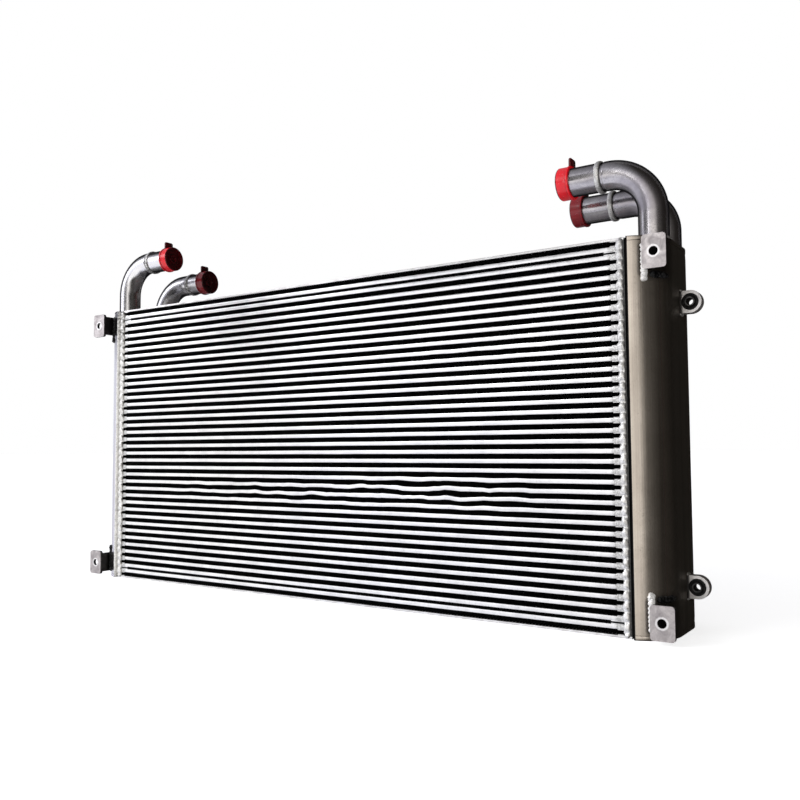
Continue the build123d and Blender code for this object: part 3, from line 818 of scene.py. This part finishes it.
for side_name, side in SIDES.items():
    add_piece(f"{side_name}_tank_wall", *tank_shell(side), TANK, f"{side_name}_tank")
    for end in ("top", "bottom"):
        dress(f"{side_name}_tank_{end}", TANK, 0.8 * MM, 3)


# ---------------------------------------------------------------- pipes

BEND_RADIUS = {"left_front": 56 * MM, "right_front": 56 * MM, "left_rear": 58 * MM, "right_rear": 46 * MM}
WALL = 3 * MM
LEAD_STEP = 0.5 * MM


def arc_path(x, y, foot, level, end_x, side, bend):
    """Centre line of an elbow with the unit normals that lie in its plane."""
    path = []
    centre_x = x - side * bend
    for i in range(9):
        path.append((Vector((x, y, foot + (level - bend - foot) * i / 8)), Vector((side, 0, 0))))
    for i in range(1, 41):
        angle = math.pi / 2 * i / 40
        outward = Vector((side * math.cos(angle), 0, math.sin(angle)))
        path.append((Vector((centre_x, y, level - bend)) + outward * bend, outward))
    for i in range(1, 5):
        path.append((Vector((centre_x + (end_x - centre_x) * i / 4, y, level)), Vector((0, 0, 1))))
    return path


def elbow_tube(name, side, segments=72):
    """Bent tube with a wall, slightly flattened through the bend, edges eased."""
    low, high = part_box(f"{name}_elbow")
    near, far = reaches(f"{name}_elbow")
    radius = (high.y - low.y) / 2
    x = side * (far - radius)
    path = arc_path(x, (low.y + high.y) / 2, low.z, high.z - radius, side * near, side, BEND_RADIUS[name])
    outer, inner = [], []
    for i, (centre, normal) in enumerate(path):
        bendness = max(0.0, 1 - abs(i - 29) / 20)
        for rings, base in ((outer, radius), (inner, radius - WALL)):
            if i == len(path) - 1 and rings is outer:
                base -= 0.6 * MM
            ring = []
            for j in range(segments):
                angle = 2 * math.pi * j / segments
                flat = 1 - 0.022 * bendness * abs(math.cos(angle))
                ring.append(centre + normal * (math.cos(angle) * base * flat)
                            + Vector((0, 1, 0)) * (math.sin(angle) * base))
            rings.append(ring)
    return loft(outer + list(reversed(inner)), close_path=True), x, radius


def foot_bead(x, y, z, radius, seed):
    """Rippled fillet weld around the foot of a pipe."""
    frames = []
    count = 110
    for i in range(count):
        angle = 2 * math.pi * i / count
        outward = Vector((math.cos(angle), math.sin(angle), 0))
        slope = (outward * 0.7 + Vector((0, 0, 0.7))).normalized()
        across = (outward * 0.7 - Vector((0, 0, 0.7))).normalized()
        place = Vector((x, y, z + 0.9 * MM)) + outward * (radius + 0.6 * MM)
        frames.append((place, across, slope))
    return bead(frames, 5.0 * MM, 1.5 * MM, 5.0 * MM, closed=True, seed=seed)


def spigot_profile(name, radius):
    """Straight tube from inside the elbow to its turned-down end, which the cap hides."""
    tip_x, root_x = reaches(f"{name}_spigot")
    length = root_x - tip_x
    shoulder = root_x - reaches(f"{name}_collar")[1]
    bare = root_x - reaches(f"{name}_port_cap")[1]
    lead = radius - LEAD_STEP
    plug = radius - WALL - 0.1 * MM
    seat = radius - WALL / 2
    bore = radius - WALL - 2 * MM
    return [(0, plug), (4 * MM, plug), (4 * MM, seat), (shoulder, seat), (shoulder, radius - 0.4 * MM),
            (shoulder + 0.5 * MM, radius), (bare, radius), (bare, lead), (length - 1 * MM, lead),
            (length, lead - 0.7 * MM), (length, bore), (0, bore)]


def collar_profile(name, radius):
    """Rounded ring seated on the spigot's shoulder."""
    low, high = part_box(f"{name}_collar")
    width = high.x - low.x
    rise = (high.y - low.y) / 2 - radius
    steps = 10
    profile = [(0, radius - WALL / 2)]
    for i in range(steps + 1):
        t = math.pi * i / steps
        profile.append((width / 2 - math.cos(t) * width / 2, radius + rise * math.sin(t) ** 0.6))
    profile.append((width, radius - WALL / 2))
    return profile


def collar_ripple(radius, seed):
    """Weld ripples on the part of a collar that stands above the tube."""
    def ripple(angle, along, r):
        if r <= radius:
            return 0.0
        lump = noise.noise(Vector((math.cos(angle) * 3, math.sin(angle) * 3, seed)))
        return 0.22 * MM * math.sin(angle * 46 + along * 500) + 0.25 * MM * lump
    return ripple


# Name and side of every pipe, with its spigot and cap.
PORTS = [(f"{side_name}_{place}", side) for side_name, side in SIDES.items() for place in ("front", "rear")]
foot_beads = []
for name, side in PORTS:
    inward = Vector((-side, 0, 0))
    (verts, faces), pipe_x, radius = elbow_tube(name, side)
    add_piece(f"{name}_bend", verts, faces, PIPE, f"{name}_elbow")
    low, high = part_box(f"{name}_elbow")
    axis_y = (low.y + high.y) / 2
    axis_z = high.z - radius
    foot_beads.append(foot_bead(pipe_x, axis_y, TOP_Z, radius, 5 + side + axis_y * 10))
    root = (side * reaches(f"{name}_spigot")[1], axis_y, axis_z)
    tube = revolve(spigot_profile(name, radius), root, inward)
    add_piece(f"{name}_hose_spigot", *tube, PIPE, f"{name}_spigot", sharp=25)
    root = (side * reaches(f"{name}_collar")[1], axis_y, axis_z)
    ring = revolve(collar_profile(name, radius), root, inward, 180, collar_ripple(radius, side * 3 + axis_y))
    add_piece(f"{name}_collar_ring", *ring, WELD, f"{name}_collar", sharp=60)
add_piece("pipe_foot_beads", *join_parts(foot_beads), WELD, "pipe_base_welds", sharp=70)


# ---------------------------------------------------------------- push-on caps

def port_cap(name, side):
    """Moulded cap: barrel, recessed end with a hollow boss, rim and pull tab.

    The third list marks with 1 the points painted in shade: the tab and the recess.
    """
    low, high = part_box(f"{name}_port_cap")
    spigot_low, spigot_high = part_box(f"{name}_spigot")
    centre_y = (spigot_low.y + spigot_high.y) / 2
    centre_z = (spigot_low.z + spigot_high.z) / 2
    rim_radius = centre_z - low.z
    barrel = rim_radius - 0.9 * MM
    socket = (spigot_high.y - spigot_low.y) / 2 - LEAD_STEP + 0.2 * MM
    length = high.x - low.x
    tip_x, mouth_x = reaches(f"{name}_port_cap")
    recess = 6 * MM
    web = 3 * MM
    boss_top = recess - 3.5 * MM
    boss, hollow = 8 * MM, 5 * MM
    inner = barrel - 2.9 * MM
    profile = [(recess + web, 0), (recess + web, socket), (length, socket), (length, rim_radius),
               (length - 3 * MM, rim_radius), (length - 3 * MM, barrel), (1.6 * MM, barrel),
               (0, barrel - 1.4 * MM), (0, inner), (recess, inner), (recess, boss), (boss_top, boss),
               (boss_top, hollow), (recess, hollow), (recess, 0)]
    eased = [profile[0]] + rounded_profile(profile, 0.7 * MM, 3)[4:-4] + [profile[-1]]
    body = revolve_solid(eased, (side * tip_x, centre_y, centre_z), (side, 0, 0), 96)
    tab = pull_tab(side, mouth_x, centre_y, centre_z + barrel - 1.5 * MM, high.z)
    verts, faces = join_parts([body, tab])
    marks = []
    for index, point in enumerate(verts):
        radius = math.hypot(point[1] - centre_y, point[2] - centre_z)
        marks.append(1.0 if index >= len(body[0]) or radius < inner + 0.3 * MM else 0.0)
    return verts, faces, marks


def pull_tab(side, mouth_x, y, z_low, z_high):
    """Thumb tab standing on the rim, with rounded corners and a thicker lip at its top."""
    half = 9 * MM
    corner = 3 * MM
    outline = [(-half, z_low), (half, z_low)]
    for start in (0, 1):
        centre = (corner - half) if start else (half - corner)
        for i in range(7):
            a = math.pi / 2 * (start + i / 6)
            outline.append((centre + corner * math.cos(a), z_high - corner + corner * math.sin(a)))
    thick = 3 * MM
    ease = 0.5 * MM
    middle = (z_low + z_high) / 2
    rings = []
    for depth, inset in ((0, ease), (ease, 0), (thick - ease, 0), (thick, ease)):
        x = side * (mouth_x - depth)
        rings.append([Vector((x, y + oy * (1 - inset / half), z - (inset if z > middle else 0)))
                      for oy, z in outline])
    return loft(rings)


for name, side in PORTS:
    verts, faces, marks = port_cap(name, side)
    piece = add_piece(f"{name}_push_cap", verts, faces, CAP, f"{name}_port_cap", body=f"{name}_cap", sharp=50)
    shade_marks = piece.data.attributes.new("shade_marks", "FLOAT", "POINT")
    shade_marks.data.foreach_set("value", marks)


# ---------------------------------------------------------------- brackets, ears and their welds

def plates(kind):
    """Side, level (1 upper, -1 lower), box and reaches of every bracket or ear."""
    for side_name, side in SIDES.items():
        for place, level in (("upper", 1), ("lower", -1)):
            node = f"{side_name}_{place}_{kind}"
            yield (side, level, *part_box(node), *reaches(node))


def bracket_beads():
    """Beads in the corner between each bracket flange and the tank, ending in a blob."""
    parts = []
    for side, level, low, high, inner_x, _ in plates("bracket"):
        outer_edge, edge = (high.z, low.z) if level > 0 else (low.z, high.z)
        end = edge - level * 6 * MM
        x = side * (inner_x - 4.2 * MM)
        y = tank_surface(abs(x)) + 0.4 * MM
        up = Vector((-side * 0.10, -0.99, 0))
        across = Vector((side * 0.99, -0.10, 0))
        frames = line_frames((x, y, outer_edge - level * 3 * MM), (x, y, end), across, up, 0.8 * MM)
        parts.append(bead(frames, 9.0 * MM, 3.6 * MM, 5.2 * MM, seed=side * 5 + level,
                          scallop=1.0 * MM, dip=0.4))
        parts.append(blob((x, y, end), 4.6 * MM, side * 2 + level))
        frames = corner_frames(side, inner_x, edge - level * 1.6 * MM, level)
        parts.append(bead(frames, 8.0 * MM, 3.2 * MM, 4.6 * MM, seed=side * 7 + level,
                          scallop=1.4 * MM, dip=0.45))
    return join_parts(parts)


def corner_frames(side, inner_x, z, level):
    """Bead frames across the tank's rounded corner, under the end of a bracket's flange."""
    frames = []
    for i in range(17):
        reach = inner_x + (1.0 + i) * MM
        here, ahead = (Vector((side * r, tank_surface(r), z)) for r in (reach, reach + 0.2 * MM))
        along = (ahead - here).normalized()
        out = Vector((side * along.y, -abs(along.x), 0)).normalized()
        frames.append((here, Vector((0, 0, level)), out))
    return frames


def blob(centre, radius, seed, rings=12, around=18):
    """Uneven ball of weld metal."""
    centre = Vector(centre)
    profile = []
    for i in range(1, rings):
        angle = math.pi * i / rings
        profile.append((-radius * math.cos(angle), radius * math.sin(angle)))
    verts = [centre + Vector((0, 0, -radius))]
    for along, r in profile:
        for j in range(around):
            a = 2 * math.pi * j / around
            out = Vector((math.cos(a) * r, math.sin(a) * r, along))
            out *= 1 + 0.30 * noise.noise(out * 330 + Vector((seed, 0, 0)))
            verts.append(centre + out)
    verts.append(centre + Vector((0, 0, radius)))
    faces = []
    last = len(verts) - 1
    for j in range(around):
        k = (j + 1) % around
        faces.append((0, 1 + k, 1 + j))
        for i in range(len(profile) - 1):
            a, b = 1 + i * around, 1 + (i + 1) * around
            faces.append((a + j, a + k, b + k, b + j))
        top = 1 + (len(profile) - 1) * around
        faces.append((last, top + j, top + k))
    return verts, faces


def ear_beads():
    """Short fillets above and below every ear."""
    parts = []
    for side, _, low, high, wall_x, _ in plates("ear"):
        x = side * (wall_x + 0.7 * MM)
        for z, level in ((high.z, 1), (low.z, -1)):
            up = Vector((side * 0.7, 0, level * 0.7))
            across = Vector((side * 0.7, 0, -level * 0.7))
            start = (x, low.y - 0.5 * MM, z + level * 0.7 * MM)
            end = (x, high.y + 0.5 * MM, z + level * 0.7 * MM)
            frames = line_frames(start, end, across, up, 0.8 * MM)
            parts.append(bead(frames, 5.0 * MM, 1.6 * MM, 3.6 * MM, seed=side * 9 + level))
    return join_parts(parts)


def bushes():
    """Rubber rings with a soft crown and a groove on each face."""
    parts = []
    for side, _, low, high, _, far_x in plates("ear"):
        eye = (high.z - low.z) / 2
        outer = eye - 4.0 * MM
        inner = 6.25 * MM
        depth = high.y - low.y
        crown = 0.9 * MM
        profile = [(0.3 * MM, outer), (-crown * 0.4, outer - 0.8 * MM), (-crown, outer - 1.8 * MM),
                   (-crown * 0.3, outer - 2.6 * MM), (-crown, inner + 1.2 * MM), (0, inner),
                   (depth, inner), (depth + crown, inner + 1.2 * MM), (depth + crown * 0.3, outer - 2.6 * MM),
                   (depth + crown, outer - 1.8 * MM), (depth + crown * 0.4, outer - 0.8 * MM),
                   (depth - 0.3 * MM, outer)]
        parts.append(revolve(profile, (side * (far_x - eye), low.y, (low.z + high.z) / 2), (0, 1, 0), 56))
    return join_parts(parts)


for side_name in SIDES:
    for place in ("upper", "lower"):
        for kind in ("bracket", "ear"):
            dress(f"{side_name}_{place}_{kind}", PLATE, 0.5 * MM, 3)
add_piece("bracket_beads", *bracket_beads(), LIT_AND_SHADED_WELD, "bracket_welds", slot="weld_bright", sharp=70)
add_piece("ear_beads", *ear_beads(), WELD, "ear_welds", sharp=70)
add_piece("bush_rings", *bushes(), RUBBER, "ear_bushes")
dress("ear_bush_sleeves", STEEL, 0.4 * MM)


# ---------------------------------------------------------------- floor, light and camera

def floor():
    """Wide pale floor: near white to the camera, unseen in the metal's reflections."""
    s = Shader("floor_white", 0.0, 0.9)
    s.feed("Base Color", s.mix(s.noise(3, 3), (0.90, 0.90, 0.90), (0.93, 0.93, 0.93)))
    ray = s.node("ShaderNodeLightPath")
    s.feed("Emission Color", (1, 1, 1))
    s.feed("Emission Strength", s.times(ray.outputs["Is Camera Ray"], FLOOR_LIFT))
    chooser = s.node("ShaderNodeMixShader")
    s.put(ray.outputs["Is Glossy Ray"], chooser.inputs[0])
    s.put(s.principled.outputs["BSDF"], chooser.inputs[1])
    s.put(s.node("ShaderNodeBsdfTransparent").outputs["BSDF"], chooser.inputs[2])
    output = next(n for n in s.tree.nodes if n.type == "OUTPUT_MATERIAL")
    s.put(chooser.outputs["Shader"], output.inputs["Surface"])
    reach = 60.0
    outline = ((-reach, -reach), (reach, -reach), (reach, reach), (-reach, reach))
    corners = [(x, y, cad_bounds[0][2]) for x, y in outline]
    plain_object("floor", corners, [(0, 1, 2, 3)], s.material)


def area_light(name, place, target, size, power):
    """Large soft lamp aimed at a point."""
    data = bpy.data.lights.new(name, "AREA")
    data.shape = "RECTANGLE"
    data.size, data.size_y = size
    data.energy = power
    lamp = bpy.data.objects.new(name, data)
    lamp.location = place
    lamp.rotation_euler = (Vector(target) - Vector(place)).to_track_quat("-Z", "Y").to_euler()
    scene.collection.objects.link(lamp)


class Sky(Nodes):
    """The world's node tree, shaded by direction."""

    def __init__(self, name):
        scene.world = bpy.data.worlds.new(name)
        scene.world.use_nodes = True
        self.background = scene.world.node_tree.nodes["Background"]
        super().__init__(scene.world.node_tree, "Generated")

    def toward(self, x, y, z=0.0):
        """Cosine of the angle to a direction."""
        node = self.node("ShaderNodeVectorMath", operation="DOT_PRODUCT")
        node.inputs[1].default_value = Vector((x, y, z)).normalized()
        self.put(self.position, node.inputs[0])
        return node.outputs["Value"]

    def step(self, value, low, high, bottom=0.0, top=1.0):
        """Smooth step of a value from bottom to top."""
        return self.span(value, low, high, bottom, top, interpolation_type="SMOOTHSTEP")


def studio_world():
    """Soft light from the front and the left, dark at the right and behind; plain white to the camera."""
    w = Sky("studio")
    height = w.toward(0, 0, 1)
    level = w.times(w.step(height, -0.62, -0.12, 0.02, 1.0), w.step(height, 0.35, 0.85, 1.0, 0.40))
    facing = w.toward(0.12, -0.99)
    front = w.plus(w.step(facing, 0.76, 0.985, 0, 0.90), w.step(facing, 0.10, 0.80, 0, 0.07))
    front = w.times(front, level)
    far_left = w.times(w.step(w.toward(-0.93, 0.37), 0.7, 0.95), w.step(height, 0.10, 0.20))
    left = w.times(w.step(w.toward(-0.95, -0.30), -0.1, 0.62), w.step(far_left, 0, 1, 1.0, 0.05))
    left = w.times(left, level)
    low_left = w.step(w.toward(-0.54, -0.45, -0.71), 0.80, 0.93, 0, 0.95)
    sky = w.mix(left, DARK_SKY, LEFT_SKY)
    sky = w.mix(low_left, sky, LEFT_SKY)
    sky = w.mix(front, sky, FRONT_SKY)
    softbox = w.step(w.toward(-0.72, -0.60, 0.35), 0.970, 0.990)
    sky = w.mix(softbox, sky, SOFTBOX)
    ray = w.node("ShaderNodeLightPath")
    w.put(w.mix(ray.outputs["Is Camera Ray"], sky, (1, 1, 1)), w.background.inputs["Color"])


def studio_card(name, low, high, glow):
    """Upright card seen only in the metal's reflections: black when its glow is zero, else a bounce card."""
    s = Shader(f"{name}_surface", 0.0, 1.0)
    s.feed("Base Color", s.mix(s.noise(20, 2), (0.004, 0.004, 0.004), (0.01, 0.01, 0.01)))
    s.feed("Specular IOR Level", 0.0)
    s.feed("Emission Color", (1, 1, 1))
    s.feed("Emission Strength", glow)
    outline = ((low[1], low[2]), (high[1], low[2]), (high[1], high[2]), (low[1], high[2]))
    verts, faces = loft([[Vector((x, y, z)) for y, z in outline] for x in (low[0], high[0])])
    card = plain_object(name, verts, faces, s.material)
    card.visible_camera = False
    card.visible_diffuse = False
    card.visible_shadow = False


FLOOR_LIFT = 0.8
FRONT_SKY = (1.34, 1.30, 1.24)
LEFT_SKY = (1.16, 1.18, 1.30)
DARK_SKY = (0.030, 0.027, 0.024)
SOFTBOX = (4.2, 4.2, 4.4)
floor()
studio_world()
studio_card("flag", (-0.26, -0.36, 0.34), (0.30, -0.34, 0.62), 0.0)
studio_card("side_flag", (-0.68, -0.36, 0.26), (-0.42, -0.34, 0.46), 0.0)
studio_card("bounce", (-1.00, -0.36, -0.35), (-0.42, -0.34, 0.24), 1.25)
area_light("key", (-1.2, -2.4, 1.5), (0, 0.05, 0), (1.4, 1.0), 16)

camera_data = bpy.data.cameras.new("camera")
camera_data.lens = 37.9075
camera_data.clip_start = 0.01
camera = bpy.data.objects.new("camera", camera_data)
camera.location = (0.8119, -0.9838, -0.0160)
camera.rotation_euler = Euler([math.radians(a) for a in (93.395, 0.329, 33.725)])
scene.collection.objects.link(camera)
scene.camera = camera
scene.view_settings.view_transform = "Standard"
